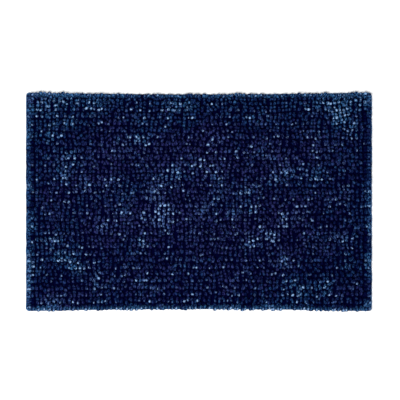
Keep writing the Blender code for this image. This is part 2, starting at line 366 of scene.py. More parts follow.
# Drifts where the dye is washed out: (x, y, half length in x, half length in y, strength).
DRIFT_STRENGTH = 1.75
WASHED_DRIFTS = (
    # along the top
    (-0.385, 0.238, 0.048, 0.028, 1.60),
    (-0.330, 0.238, 0.050, 0.018, 0.80),
    (-0.240, 0.224, 0.030, 0.018, 0.35),
    (-0.290, 0.182, 0.018, 0.014, 0.40),
    (-0.340, 0.158, 0.014, 0.030, 0.32),
    (-0.050, 0.222, 0.040, 0.016, 0.25),
    (0.127, 0.193, 0.020, 0.016, 0.26),
    (0.290, 0.226, 0.024, 0.018, 0.42),
    (0.360, 0.238, 0.048, 0.022, 1.00),
    (0.324, 0.197, 0.018, 0.016, 1.00),
    (0.358, 0.166, 0.016, 0.015, 0.55),
    (0.281, 0.162, 0.014, 0.014, 0.40),
    (0.220, 0.208, 0.040, 0.022, -0.12),
    # upper half
    (-0.305, 0.104, 0.024, 0.018, 0.42),
    (-0.309, 0.060, 0.015, 0.014, 0.70),
    (-0.259, 0.040, 0.013, 0.018, 0.48),
    (-0.197, 0.050, 0.016, 0.014, 0.40),
    (-0.136, 0.143, 0.018, 0.016, 0.55),
    (-0.130, 0.185, 0.036, 0.014, 0.18),
    (-0.052, 0.070, 0.020, 0.020, 0.50),
    (-0.082, 0.046, 0.018, 0.016, 0.42),
    (0.000, 0.090, 0.012, 0.012, 0.42),
    (0.034, 0.146, 0.016, 0.014, 0.26),
    (0.028, 0.061, 0.022, 0.018, 0.32),
    (0.061, 0.042, 0.016, 0.014, 0.30),
    (0.104, 0.024, 0.016, 0.018, 0.36),
    (0.150, 0.108, 0.020, 0.010, 0.34),
    (0.175, 0.054, 0.020, 0.014, 0.36),
    (0.212, 0.070, 0.030, 0.010, 0.52),
    (0.274, 0.064, 0.018, 0.016, 0.42),
    # lower half
    (-0.108, 0.018, 0.016, 0.018, 0.62),
    (-0.081, -0.020, 0.020, 0.018, 1.05),
    (-0.118, -0.032, 0.016, 0.014, 0.50),
    (-0.174, -0.024, 0.024, 0.012, 0.42),
    (-0.216, -0.054, 0.018, 0.014, 0.36),
    (-0.082, -0.056, 0.014, 0.018, 0.38),
    (-0.136, -0.090, 0.012, 0.012, 0.52),
    (-0.047, -0.136, 0.012, 0.016, 0.32),
    (0.015, -0.020, 0.030, 0.020, 0.26),
    (0.081, -0.024, 0.014, 0.014, 0.46),
    (0.119, -0.016, 0.012, 0.012, 0.46),
    (0.204, -0.040, 0.020, 0.014, 0.32),
    (0.166, -0.078, 0.017, 0.016, 0.68),
    (0.119, -0.093, 0.020, 0.014, 0.55),
    (0.193, -0.132, 0.012, 0.010, 0.50),
    (0.328, -0.081, 0.030, 0.009, 0.55),
    (0.339, -0.144, 0.012, 0.012, 0.50),
    (0.339, 0.031, 0.012, 0.010, 0.34),
    (-0.344, -0.089, 0.026, 0.016, 0.46),
    (-0.322, -0.124, 0.020, 0.016, 0.60),
    (-0.277, -0.148, 0.018, 0.017, 0.60),
    (-0.236, -0.178, 0.014, 0.022, 0.46),
    (-0.344, -0.178, 0.028, 0.022, -0.12),
    # along the bottom
    (-0.136, -0.187, 0.014, 0.011, 0.50),
    (-0.100, -0.202, 0.022, 0.010, 0.28),
    (-0.345, -0.238, 0.030, 0.015, 0.75),
    (-0.150, -0.244, 0.040, 0.009, 0.40),
    (0.065, -0.243, 0.032, 0.010, 0.60),
    (0.168, -0.240, 0.032, 0.010, 0.50),
    (0.228, -0.202, 0.028, 0.022, 0.34),
    (0.290, -0.194, 0.024, 0.016, 0.30),
    (0.392, -0.240, 0.018, 0.014, 1.00),
    # down the sides
    (-0.394, 0.158, 0.012, 0.016, 0.60),
    (-0.394, 0.034, 0.012, 0.012, 0.75),
    (-0.394, -0.054, 0.014, 0.012, 0.90),
    (-0.392, -0.132, 0.014, 0.030, 0.55),
    (-0.394, -0.193, 0.014, 0.024, 0.55),
    (0.394, 0.004, 0.011, 0.028, 0.70),
    (0.394, -0.050, 0.012, 0.014, 0.50),
    (0.394, -0.132, 0.012, 0.024, 0.50),
    (0.378, 0.130, 0.012, 0.060, -0.10),
    (0.370, -0.100, 0.012, 0.090, -0.10),
)


def washed(x, y):
    """How far the dye is washed out: the drifts as soft ellipses, over a cloudy random field.

    A drift adds DRIFT_STRENGTH times its own strength times e to the power of minus the squared
    distance from its centre, measured in its own half lengths.
    """
    broad, fine = CLOUDS
    total = BASE_WASH + broad * waves(x, y, 0.070, 5) + fine * waves(x, y, 0.022, 6)
    for centre_x, centre_y, reach_x, reach_y, strength in WASHED_DRIFTS:
        away = ((x - centre_x) / reach_x) ** 2 + ((y - centre_y) / reach_y) ** 2
        total = total + DRIFT_STRENGTH * strength * np.exp(-away)
    return np.clip(total, 0, 1.2)


def loop_grid():
    """The loops before they stray: where each one stands, as arrays of (rows, loops).

    Tall and low loops take turns along a row, and a tall one takes the larger share of the pair.
    side_rows falls evenly from 1 in the outermost rows to 0 in the fifth.
    """
    rows = row_ends()
    length = rows[:, 2:3] - rows[:, 1:2]
    tall = np.arange(LOOPS) % 2 == 0
    pitch = np.where(tall, TALL_LOOP_SHARE, 1 - TALL_LOOP_SHARE)
    pitch = pitch / pitch.sum()
    y = rows[:, 1:2] + length * (np.cumsum(pitch) - pitch / 2)
    row = np.arange(ROWS)
    loop = np.arange(LOOPS)
    from_side = np.minimum(row, row[::-1])[:, None] + np.zeros(y.shape)
    from_end = np.minimum(loop, loop[::-1]) + np.zeros(y.shape)
    return {
        "x": np.broadcast_to(rows[:, :1], y.shape),
        "y": y,
        "pitch": length * pitch,
        "tall": np.broadcast_to(tall, y.shape),
        "from_side": from_side,
        "from_end": from_end,
        "side_rows": np.maximum(1 - from_side / SIDE_ROWS, 0),
        "outer": np.where((from_side == 0) | (from_end == 0), 1.0, 0.0),
        "top_end": (from_end == 0) & (y > 0),
        "low_end": (from_end == 0) & (y < 0),
    }


def stray(grid, rng):
    """Moves the loops off their grid: all wander, outer rows crowd up, and corner loops draw in.

    The corner loops draw in along their rows, twice as far at the left end of the mat as at the right.
    """
    x = grid["x"]
    y = grid["y"]
    side_rows = grid["side_rows"]
    together, alone = WANDER_ACROSS
    across = together * waves(x, y, 0.130, 9) + ROW_WANDER * waves(20 * x, y, 0.080, 10)
    across = across + alone * rng.standard_normal(y.shape)
    x = x + across * (1 - side_rows**2)
    x = x + np.sign(x) * SIDE_CROWDING * (side_rows**2 - 2 * (grid["from_side"] == 0))
    together, alone = WANDER_ALONG
    along = together * waves(x, y, 0.090, 8) + alone * rng.standard_normal(y.shape)
    y = y + along * (1 - 0.5 * grid["outer"])
    corner = ease(np.abs(y), HALF_WIDTH - CORNER_REACH, HALF_WIDTH)
    corner = corner * np.maximum(1 - grid["from_side"] / 2, 0) ** 2
    y = y - np.sign(y) * CORNER_PULL * corner * np.where(x < 0, 1.0, 0.5)
    return x, y


def lean_and_turn(grid, x, y, rng):
    """How far each crown stands from over its root, and the angle that the loop is turned by.

    Low loops lean further than tall ones. Towards the top end of a row the loops stand up and then
    lean out over the edge, and the last loop at the low end leans out too.
    """
    side_rows = grid["side_rows"]
    together, alone = SWAY_ALONG
    along = LEAN * np.where(grid["tall"], TALL_LEAN_SHARE, LOW_LEAN_SHARE)
    along = along + together * waves(x, y, 0.050, 1)
    along = along + alone * rng.standard_normal(y.shape)
    from_top = np.arange(LOOPS)[::-1]
    near_top = TOP_END_LEAN - TOP_END_LEAN_STEP * from_top + SWAY_OF_TOP_END * rng.standard_normal(y.shape)
    along = np.maximum(along, near_top) + LOW_END_LEAN * grid["low_end"]
    together, alone = SWAY_ACROSS
    across = together * waves(x, y, 0.070, 2) + alone * rng.standard_normal(y.shape)
    across = across * (1 - side_rows) + EDGE_LEAN * side_rows * np.sign(x)
    together, alone = TURN_DEGREES
    turn = together * waves(x, y, 0.050, 3) + alone * rng.standard_normal(y.shape)
    return {"lean_x": across, "lean_y": along, "turn": np.radians(turn) * (1 - 0.8 * side_rows)}


def height_and_girth(grid, x, y, rng):
    """Each crown's height, and the yarn's thickness and breadth as shares of the normal yarn's."""
    together, alone = CROWN_SWELL
    crown = CROWN_Z + together * waves(x, y, 0.080, 4) + alone * rng.standard_normal(y.shape)
    crown = crown - EDGE_DROP * grid["outer"] - LOW_LOOP_DROP * (1 - grid["tall"])
    fat = 1 + FATNESS_SPREAD * rng.standard_normal(y.shape) + OUTER_FATNESS * grid["outer"]
    first, second = SIDE_ROW_BREADTHS
    broad = fat + first * (grid["from_side"] == 0) + second * (grid["from_side"] == 1)
    return {"crown": crown, "fat": fat, "broad": broad}


def wash_and_root_shade(grid, x, y, rng):
    """How far the dye is gone round each loop, how far for the loop itself, and its clearance of the dark
    root.

    The wash is the drifts and the fading at the rows' ends, partly painted sheen there and in the first
    left row, and a loop takes its own share of it. The clearance is how far down its sides a loop shows its
    colour above the dark root, which is darker dye and painted shade: low loops less than tall ones, and
    loops where the dye is washed out more.
    """
    # Loops at the rows' ends and in the first left row are paler: partly washed dye, partly painted sheen.
    first_left = (grid["from_side"] == 0) * (x < 0)
    wash = washed(x, y) + LEFT_ROW_WASH_AND_SHEEN * first_left
    wash = wash + TOP_END_WASH_AND_SHEEN * grid["top_end"] + LOW_END_WASH_AND_SHEEN * grid["low_end"]
    wash = wash + TOP_BAND_WASH * ease(y, HALF_WIDTH - 0.05, HALF_WIDTH - 0.02)
    luck = np.clip(rng.random(y.shape) + 0.13 * waves(x, 25 * y, 0.050, 15), 0, 1)
    bluer = OWN_BLUE * rng.random(y.shape) ** 5
    own = np.clip(wash * (0.20 + rng.random(y.shape)) + bluer, 0, 1)
    # Clearance of the dark root, its darker dye and painted shade: low loops less, the first left row more.
    clear_of_root_shade = np.where(grid["tall"], 1.0, LOW_LOOP_CLEAR_OF_ROOT_SHADE + 0.16 * y / HALF_WIDTH)
    clear_of_root_shade = clear_of_root_shade * (0.60 + 0.54 * rng.random(y.shape))
    clear_of_root_shade = clear_of_root_shade + 0.28 * first_left - 0.32 * (grid["from_side"] == 1)
    return wash, luck, own, clear_of_root_shade + WASHED_CLEAR_OF_ROOT_SHADE * np.clip(wash, 0, 1) ** 1.5


def wear(grid, x, y, rng):
    """Each loop's wash, clearance of the dark root, rubbed crown and hue.

    rub is the strength of the pale spot on the crown: strong on a few lucky loops anywhere and on
    most of those in a drift, but less so in the mat's corners. aside and ahead tip that spot off the
    top. violet is the hue, strongest in the mat's middle and weakest at its edges.
    """
    tall = grid["tall"]
    side_rows = grid["side_rows"]
    from_middle = np.hypot(x / HALF_LENGTH, y / HALF_WIDTH)
    wash, luck, own, clear_of_root_shade = wash_and_root_shade(grid, x, y, rng)
    rub = LUCKY_RUB * luck**3.2 * (0.28 + 0.72 * tall) * (0.52 + 1.1 * wash)
    in_drift = DRIFT_RUB - CORNER_HAZE * ease(from_middle, 1.10, 1.35)
    rub = rub + in_drift * wash * rng.random(y.shape) ** 2 * (0.55 + 0.45 * tall)
    rub = np.clip(rub, 0, 1) ** 1.25 * (1 - 0.5 * np.maximum(side_rows, grid["top_end"]))
    aside = np.clip(0.45 * rng.standard_normal(y.shape), -0.8, 0.8)
    ahead = np.clip(-0.20 + 0.25 * rng.standard_normal(y.shape), -0.8, 0.3)
    together, alone = VIOLET_SPREAD
    violet = VIOLET_AT_EDGE + VIOLET_IN_MIDDLE * (1 - ease(from_middle, 0.4, 1.0))
    violet = violet + together * waves(x, y, 0.150, 7) + alone * rng.standard_normal(y.shape)
    near_edge = np.maximum(side_rows, np.maximum(1 - grid["from_end"] / END_LOOPS, 0))
    violet = np.clip(violet - 0.5 * near_edge, 0, 1)
    return {"wash": own, "clear_of_root_shade": clear_of_root_shade, "rub": rub, "aside": aside, "ahead": ahead, "violet": violet}


def lay_loops():
    """Every loop's own place, lean, girth and wear, as arrays of (rows, loops)."""
    rng = np.random.default_rng(YARN_SEED)
    grid = loop_grid()
    x, y = stray(grid, rng)
    loops = {"x": x, "y": y, "pitch": grid["pitch"]}
    loops.update(lean_and_turn(grid, x, y, rng))
    loops.update(height_and_girth(grid, x, y, rng))
    loops.update(wear(grid, x, y, rng))
    return loops


def loop_paths(loops, rows):
    """The centre lines of some rows' yarns, and each ring's height share from root to crown.

    Within a loop the phase p runs from 0 to 2 pi. Along the row the yarn moves pitch * (p - pi) / 2 pi
    - spread * sin(p). Its height share is ((1 - cos p) / 2) to the power of the squareness. The loop
    turns about its own root, and leans by its lean times the height share squared.
    """
    step = (np.arange(RINGS_PER_LOOP) + 0.5) / RINGS_PER_LOOP
    phase = 2 * np.pi * step + CROWN_RING_CROWDING * np.sin(2 * np.pi * step)
    share = ((1 - np.cos(phase)) / 2) ** CROWN_SQUARENESS
    part = {key: value[rows][..., None] for key, value in loops.items()}
    run = part["pitch"] * (phase - np.pi) / (2 * np.pi) - LOOP_SPREAD * np.sin(phase)
    turned = part["turn"] * share
    x = part["x"] - run * np.sin(turned) + part["lean_x"] * share
    y = part["y"] + run * np.cos(turned) + part["lean_y"] * share**2
    z = ROOT_Z + (part["crown"] - ROOT_Z) * share
    path = np.stack(np.broadcast_arrays(x, y, z), axis=-1)
    count = path.shape[0]
    return path.reshape(count, -1, 3), np.broadcast_to(share, x.shape).reshape(count, -1)


def hem_profile(panel_top):
    """The hem's section, from the panel's top in over the fold and the flap and back along the panel.

    Each row is (inset from the mat's edge, z, wear). Round the fold the wear is partly real and partly
    painted sheen, palest where the fold faces straight out. The outside of the fold is half an ellipse from
    the panel's top to the floor, and its inside is half a flat ellipse as high as the space in the hem.
    The flap lies just off the floor and is drawn up in a groove along the seam.
    """
    half = panel_top / 2
    space = panel_top - 2 * CLOTH
    turn = np.linspace(0, np.pi, FOLD_STEPS)
    fold_wear_and_sheen = 0.75 + 0.25 * np.sin(turn)
    outer = np.stack([half * (1 - np.sin(turn)), half + half * np.cos(turn), fold_wear_and_sheen], axis=-1)
    inner_turn = np.linspace(np.pi, 0, 5)
    inner_z = half + space / 2 * np.cos(inner_turn)
    inner = np.stack([CLOTH + FOLD_HOLLOW * (1 - np.sin(inner_turn)), inner_z, 0 * inner_z], axis=-1)
    top_run = [(PANEL_INSET, panel_top, 0.0), (0.012, panel_top, 0.0), (0.004, panel_top + FOLD_RISE, 0.6)]
    flap = [
        (0.005, FLAP_LIFT, 0.5),
        (SEAM_FROM_FOLD - SEAM_GROOVE_REACH, FLAP_LIFT, 0.4),
        (SEAM_FROM_FOLD, FLAP_LIFT + SEAM_GROOVE_DEPTH, 0.2),
        (SEAM_FROM_FOLD + SEAM_GROOVE_REACH, FLAP_LIFT, 0.4),
        (HEM_WIDTH - 0.0004, 2 * FLAP_LIFT, 0.5),
        (HEM_WIDTH, CLOTH / 2, 0.6),
        (HEM_WIDTH - 0.0003, CLOTH, 0.3),
        (SEAM_FROM_FOLD, CLOTH + 2 * FLAP_LIFT, 0.0),
    ]
    under = [(0.006, panel_top - CLOTH, 0.0), (PANEL_INSET, panel_top - CLOTH, 0.0)]
    return np.array(top_run + list(outer) + flap + list(inner) + under)


def make_cloth(material):
    """The base cloth as one closed skin: the hem's section carried round the mat, closed by flat panels."""
    profile = hem_profile(PANEL_TOP)
    rings = []
    for inset, z, _ in profile:
        radius = max(CLOTH_CORNER - inset, 0.0004)
        flat = rounded_rectangle(HALF_LENGTH - inset, HALF_WIDTH - inset, radius, HEM_STEP)
        ripple = RAW_EDGE_RIPPLE * waves(flat[:, 0], flat[:, 1], 0.030, 12) * ease(0.015 - inset, 0, 0.01)
        rings.append(np.column_stack([flat * (1 + ripple / HALF_LENGTH)[:, None], np.full(len(flat), z)]))
    points = np.concatenate(rings)
    quads, first, last = loft_faces(len(rings), len(rings[0]))
    obj = put_mesh("hemmed_cloth", waisted(points), [quads[:, ::-1], first[None], last[None, ::-1]])
    # The fold's pale band in this wear is partly painted sheen.
    wear = np.repeat(profile[:, 2], len(rings[0]))
    patchy = 0.55 + 0.25 * waves(points[:, 0], points[:, 1], 0.018, 13) + washed(points[:, 0], points[:, 1])
    put_values(obj, "rubbed", np.clip(wear * patchy, 0, 1))
    return dress(obj, material, "base_cloth")


def make_stitching(material):
    """The hem's seam: a thread that lies under the flap and dips into the cloth at each stitch.

    Its height is the resting level plus the dip times the sixth power of (1 + cos of the stitch
    phase) / 2.
    """
    lo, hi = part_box("hem_seam_thread")
    outline = rounded_rectangle((hi.x - lo.x) / 2, (hi.y - lo.y) / 2, SEAM_CORNER, HEM_STEP)
    closed = np.vstack([outline, outline[:1]])
    distance = np.concatenate([[0], np.linalg.norm(np.diff(closed, axis=0), axis=1).cumsum()])
    stitches = round(distance[-1] / STITCH)
    count = stitches * RINGS_PER_STITCH
    place = np.arange(count) / count * distance[-1]
    x = np.interp(place, distance, closed[:, 0])
    y = np.interp(place, distance, closed[:, 1])
    phase = 2 * np.pi * np.arange(count) / RINGS_PER_STITCH
    z = THREAD_RADIUS + THREAD_CLEARANCE + STITCH_DIP * ((1 + np.cos(phase)) / 2) ** 6
    path = waisted(np.stack([x, y, z], axis=-1))
    along = unit(np.roll(path, -1, axis=0) - np.roll(path, 1, axis=0))
    across = unit(np.cross(along, [0, 0, 1.0]))
    up = np.cross(across, along)
    angle = 2 * np.pi * np.arange(SIDES) / SIDES
    ring = np.sin(angle)[:, None] * across[:, None] + np.cos(angle)[:, None] * up[:, None]
    points = (path[:, None] + THREAD_RADIUS * ring).reshape(-1, 3)
    index = np.arange(count * SIDES).reshape(count, SIDES)
    around = np.roll(index, -1, axis=1)
    quads = np.stack([index, around, np.roll(around, -1, axis=0), np.roll(index, -1, axis=0)], axis=-1)
    obj = put_mesh("hem_stitching", points, [quads.reshape(-1, 4)])
    u0 = np.broadcast_to(np.arange(SIDES) / SIDES, index.shape)
    v0 = np.broadcast_to(place[:, None], index.shape)
    v1 = v0 + distance[-1] / count
    u1 = u0 + 1 / SIDES
    put_uv(obj, np.stack([u0, v0, u1, v0, u1, v1, u0, v1], axis=-1).reshape(-1, 2))
    return dress(obj, material, "hem_seam_thread")


def spaced(ends, step):
    """Numbers from the first end to the last, evenly spaced about a step apart between each two ends."""
    parts = []
    for low, high in zip(ends[:-1], ends[1:]):
        count = max(2, round((high - low) / step))
        parts.append(np.linspace(low, high, count, endpoint=False))
    return np.concatenate([*parts, ends[-1:]])


def latex_underside(x, y, rows):
    """The height of the coat's underside over a grid, and how thin the coat is there.

    Along a row the ridge (1 + cos of the row phase) / 2 is 1, and between rows it is 0. A stitch hole
    is the fifth power of (1 + cos of the loop phase) / 2. The coat is thin by the ridge times 1 less a
    share of the hole, and its underside is lowest where it is thinnest, over the backs of the stitches.
    """
    ridge = (1 + np.cos(2 * np.pi * (x - rows[0, 0]) / (rows[1, 0] - rows[0, 0]))) / 2
    hole = ((1 + np.cos(2 * np.pi * y / LOOP_PITCH)) / 2) ** 5
    thin = ridge * (1 - 0.6 * hole)
    ripple = LATEX_RIPPLE * (1 + waves(x, y, 0.012, 14) / 3)
    return LATEX_CLEARANCE + BACK_STITCH_RELIEF * (1 - thin) + ripple, thin


def rim_round_bay(index, left, right, head):
    """The outermost points of a grid in order, where a bay is let into its first side."""
    return np.concatenate(
        [
            index[0, :left],
            index[:head, left],
            index[head, left:right],
            index[head:0:-1, right],
            index[0, right:-1],
            index[:-1, -1],
            index[-1, :0:-1],
            index[:0:-1, 0],
        ]
    )


def make_latex(rows, material):
    """The latex coat: a height field below, upright sides, a flat face on top, and a bay for the label."""
    lo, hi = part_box("latex_coating")
    label_lo, label_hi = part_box("care_label")
    bay_left = label_lo.x - LABEL_BAY_CLEARANCE
    bay_right = label_hi.x + LABEL_BAY_CLEARANCE
    bay_head = label_hi.y + LABEL_BAY_CLEARANCE
    x = spaced((lo.x, bay_left, bay_right, hi.x), (rows[1, 0] - rows[0, 0]) / LATEX_STEPS_PER_ROW)
    y = spaced((lo.y, bay_head, hi.y), LOOP_PITCH / LATEX_STEPS_PER_LOOP)
    grid_x, grid_y = np.meshgrid(x, y)
    z, thin = latex_underside(grid_x, grid_y, rows)
    field = np.stack([grid_x, grid_y, z], axis=-1).reshape(-1, 3)
    index = np.arange(grid_x.size).reshape(grid_x.shape)
    centre_x = (x[:-1] + x[1:]) / 2
    centre_y = (y[:-1] + y[1:]) / 2
    in_bay = (centre_x > bay_left) & (centre_x < bay_right) & (centre_y < bay_head)[:, None]
    quads = np.stack([index[:-1, :-1], index[1:, :-1], index[1:, 1:], index[:-1, 1:]], axis=-1)[~in_bay]
    left, right = np.searchsorted(x, np.array([bay_left, bay_right]) - TINY)
    rim = rim_round_bay(index, left, right, np.searchsorted(y, bay_head - TINY))
    shoulder = field[rim] * [1, 1, 0] + [0, 0, hi.z - LATEX_EDGE]
    top = shoulder + [0, 0, LATEX_EDGE]
    first = len(field)
    ring = np.arange(len(rim))
    after = np.roll(ring, -1)
    walls = np.stack([rim, rim[after], first + after, first + ring], axis=-1)
    second = first + len(rim)
    upper = np.stack([first + ring, first + after, second + after, second + ring], axis=-1)
    points = waisted(np.vstack([field, shoulder, top]))
    obj = put_mesh("latex_back", points, [quads, walls, upper, second + ring[None]])
    put_values(obj, "thin", np.concatenate([thin.ravel(), np.zeros(2 * len(rim))]))
    drop_unused_points(obj)
    return dress(obj, material, "latex_coating")


def drop_unused_points(obj):
    """Removes the points that no face uses."""
    used = np.zeros(len(obj.data.vertices), bool)
    corners = np.empty(len(obj.data.loops), np.int32)
    obj.data.loops.foreach_get("vertex_index", corners)
    used[corners] = True
    bm = bmesh.new()
    bm.from_mesh(obj.data)
    bm.verts.ensure_lookup_table()
    bmesh.ops.delete(bm, geom=[bm.verts[i] for i in np.flatnonzero(~used)], context="VERTS")
    bm.to_mesh(obj.data)
    bm.free()


def make_label(material):
    """A plain satin ribbon as a thin closed sheet: flat at the hem, and waved towards its free end.

    The wave is a sine across the width that grows with the length, and the free end lies a little lower.
    """
    lo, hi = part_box("care_label")
    across = np.linspace(-0.5, 0.5, RIBBON_GRID[0])
    along = np.linspace(0, 1, RIBBON_GRID[1])
    u, v = np.meshgrid(across, along)
    width = hi.x - lo.x
    x = (lo.x + hi.x) / 2 + u * width
    y = lo.y + v * (hi.y - lo.y)
    middle = (lo.z + hi.z) / 2
    z = middle - RIBBON_DROP * v + RIBBON_WAVE * np.sin(2 * np.pi * u * 1.3 + 3 * v) * v
    sheet = np.stack([x, y, z], axis=-1)
    points = np.stack([sheet, sheet + [0, 0, RIBBON_THICKNESS]]).reshape(-1, 3)
    index = np.arange(2 * u.size).reshape(2, *u.shape)
    low = np.stack([index[0, :-1, :-1], index[0, 1:, :-1], index[0, 1:, 1:], index[0, :-1, 1:]], axis=-1)
    high = np.stack([index[1, :-1, :-1], index[1, :-1, 1:], index[1, 1:, 1:], index[1, 1:, :-1]], axis=-1)
    rim = np.concatenate([index[0, 0, :-1], index[0, :-1, -1], index[0, -1, :0:-1], index[0, :0:-1, 0]])
    after = np.roll(rim, -1)
    walls = np.stack([rim, after, after + u.size, rim + u.size], axis=-1)
    obj = put_mesh("care_ribbon", points, [low.reshape(-1, 4), high.reshape(-1, 4), walls])
    return dress(obj, material, "care_label")


def per_ring(values, rows):
    """A loop's value on each of its rings."""
    return np.repeat(values[rows], RINGS_PER_LOOP, axis=1)


def make_pile_piece(node, number, loops, material):
    """Two neighbouring rows of loops: each row is one yarn, thick at the crown and pinched at the root.

    The rubbed spot is where the height share is near 1 and the surface faces the loop's own direction
    (aside, ahead, 1). The height value paints the dark root, which is darker dye and painted shade: it is
    the share times the clearance, and less on surfaces that face down, which is painted shade on the
    flanks.
    """
    rows = slice(ROWS_PER_NODE * number, ROWS_PER_NODE * (number + 1))
    path, share = loop_paths(loops, rows)
    path = waisted(path)
    broad = per_ring(loops["broad"], rows) * share**BREADTH_CURVE
    fat = per_ring(loops["fat"], rows) * share**FATNESS_CURVE
    half_width = ROOT_HALF_WIDTH + (YARN_HALF_WIDTH - ROOT_HALF_WIDTH) * broad
    half_thickness = ROOT_HALF_THICKNESS + (YARN_HALF_THICKNESS - ROOT_HALF_THICKNESS) * fat
    side = np.broadcast_to([1.0, 0.0, 0.0], path.shape)
    points, outward = yarn_surface(path, side, half_width, half_thickness, SIDES)
    yarns, rings = path.shape[:2]
    faces = yarn_faces(yarns, rings, SIDES)
    obj = put_mesh(node.replace("pile_rows", "loop_rows"), points.reshape(-1, 3), faces)
    lengths = np.linalg.norm(np.diff(path, axis=1), axis=-1).cumsum(axis=1)
    along = np.concatenate([np.zeros((yarns, 1)), lengths], axis=1)
    put_uv(obj, yarn_uv(yarns, rings, SIDES, along))

    aside = per_ring(loops["aside"], rows)
    ahead = per_ring(loops["ahead"], rows)
    facing = unit(np.stack([aside, ahead, np.ones_like(share)], axis=-1))
    to_spot = (outward * facing[:, :, None]).sum(-1)
    crown = ease(share, *CROWN_BAND)[..., None] * ease(to_spot, *CROWN_SPOT)
    # Painted shade: the dark root, with its darker dye, and the flanks that face down.
    clear_of_root_shade = (share * per_ring(loops["clear_of_root_shade"], rows))[..., None]
    height = clear_of_root_shade * (SHADED_FLANK + (1 - SHADED_FLANK) * ease(outward[..., 2], -0.3, 0.9))
    put_values(obj, "rubbed", (crown * per_ring(loops["rub"], rows)[..., None]).ravel())
    put_values(obj, "height", height.ravel())
    for name in ("wash", "violet"):
        put_values(obj, name, np.broadcast_to(per_ring(loops[name], rows)[..., None], crown.shape).ravel())
    return dress(obj, material, node)


# ---------------------------------------------------------------- materials


def new_group(name, inputs, outputs):
    """An empty shader node group, its given values and its results.

    inputs are (name, kind, default) and outputs are (name, kind).
    """
    group = bpy.data.node_groups.new(name, "ShaderNodeTree")
    for label, kind, default in inputs:
        socket = group.interface.new_socket(label, in_out="INPUT", socket_type=f"NodeSocket{kind}")
        if default is not None:
            socket.default_value = default
    for label, kind in outputs:
        group.interface.new_socket(label, in_out="OUTPUT", socket_type=f"NodeSocket{kind}")
    return group, group.nodes.new("NodeGroupInput").outputs, group.nodes.new("NodeGroupOutput").inputs


def feed(tree, socket, value):
    """Puts a number, a colour or another node's output into a socket."""
    if isinstance(value, bpy.types.NodeSocket):
        tree.links.new(value, socket)
    else:
        socket.default_value = value


def maths(tree, operation, *values, clamp=False):
    """One sum or function of the values, held to 0..1 if clamp is set."""
    node = tree.nodes.new("ShaderNodeMath")
    node.operation = operation
    node.use_clamp = clamp
    for socket, value in zip(node.inputs, values):
        feed(tree, socket, value)
    return node.outputs[0]


def remap(tree, value, low, high, to_low=0.0, to_high=1.0):
    """value from low..high to to_low..to_high, smoothly and held at the ends."""
    node = tree.nodes.new("ShaderNodeMapRange")
    node.interpolation_type = "SMOOTHSTEP"
    for socket, amount in zip(node.inputs, (value, low, high, to_low, to_high)):
        feed(tree, socket, amount)
    return node.outputs[0]


def mix(tree, factor, first, second):
    """The first colour at factor 0 and the second at factor 1."""
    node = tree.nodes.new("ShaderNodeMix")
    node.data_type = "RGBA"
    feed(tree, node.inputs["Factor"], factor)
    feed(tree, node.inputs[6], first)
    feed(tree, node.inputs[7], second)
    return node.outputs[2]


def noise(tree, vector, scale, detail=2.0, roughness=0.5):
    """Cloudy noise from 0 to 1 about 0.5."""
    node = tree.nodes.new("ShaderNodeTexNoise")
    feed(tree, node.inputs["Vector"], vector)
    feed(tree, node.inputs["Scale"], scale)
    feed(tree, node.inputs["Detail"], detail)
    feed(tree, node.inputs["Roughness"], roughness)
    return node.outputs["Fac"]


def stretched(tree, vector, scale):
    """The vector with each of its parts multiplied by a number of its own."""
    node = tree.nodes.new("ShaderNodeMapping")
    feed(tree, node.inputs["Vector"], vector)
    node.inputs["Scale"].default_value = scale
    return node.outputs["Vector"]


def value_of(tree, name):
    """The number that each point of the piece carries under a name."""
    node = tree.nodes.new("ShaderNodeAttribute")
    node.attribute_name = name
    return node.outputs["Fac"]


def coordinates(tree, kind):
    """The place on the piece, as its UV map or in its own metres."""
    return tree.nodes.new("ShaderNodeTexCoord").outputs[kind]


def bump(tree, height, distance):
    """The normal of a surface raised by height times distance, in metres."""
    node = tree.nodes.new("ShaderNodeBump")
    node.inputs["Distance"].default_value = distance
    feed(tree, node.inputs["Height"], height)
    return node.outputs["Normal"]


def place_group(tree, group, **values):
    """A group node with its inputs fed by name, where _ stands for a space."""
    node = tree.nodes.new("ShaderNodeGroup")
    node.node_tree = group
    for name, value in values.items():
        feed(tree, node.inputs[name.replace("_", " ")], value)
    return node.outputs


def twisted_plies():
    """Plies wound round a yarn: a sine of (plies * turn round + length / lay), rounded into strands."""
    group, given, out = new_group(
        "twisted_plies",
        (("Yarn", "Vector", None), ("Plies", "Float", 3.0), ("Turns Per Metre", "Float", 60.0)),
        (("Height", "Float"), ("Groove", "Float")),
    )
    split = group.nodes.new("ShaderNodeSeparateXYZ")
    feed(group, split.inputs[0], given["Yarn"])
    turns = maths(group, "MULTIPLY", split.outputs["X"], given["Plies"])
    turns = maths(group, "MULTIPLY_ADD", split.outputs["Y"], given["Turns Per Metre"], turns)
    wave = maths(group, "ABSOLUTE", maths(group, "SINE", maths(group, "MULTIPLY", turns, math.pi)))
    feed(group, out["Height"], maths(group, "POWER", wave, 0.6))
    feed(group, out["Groove"], remap(group, wave, 0.45, 0.0))
    return group


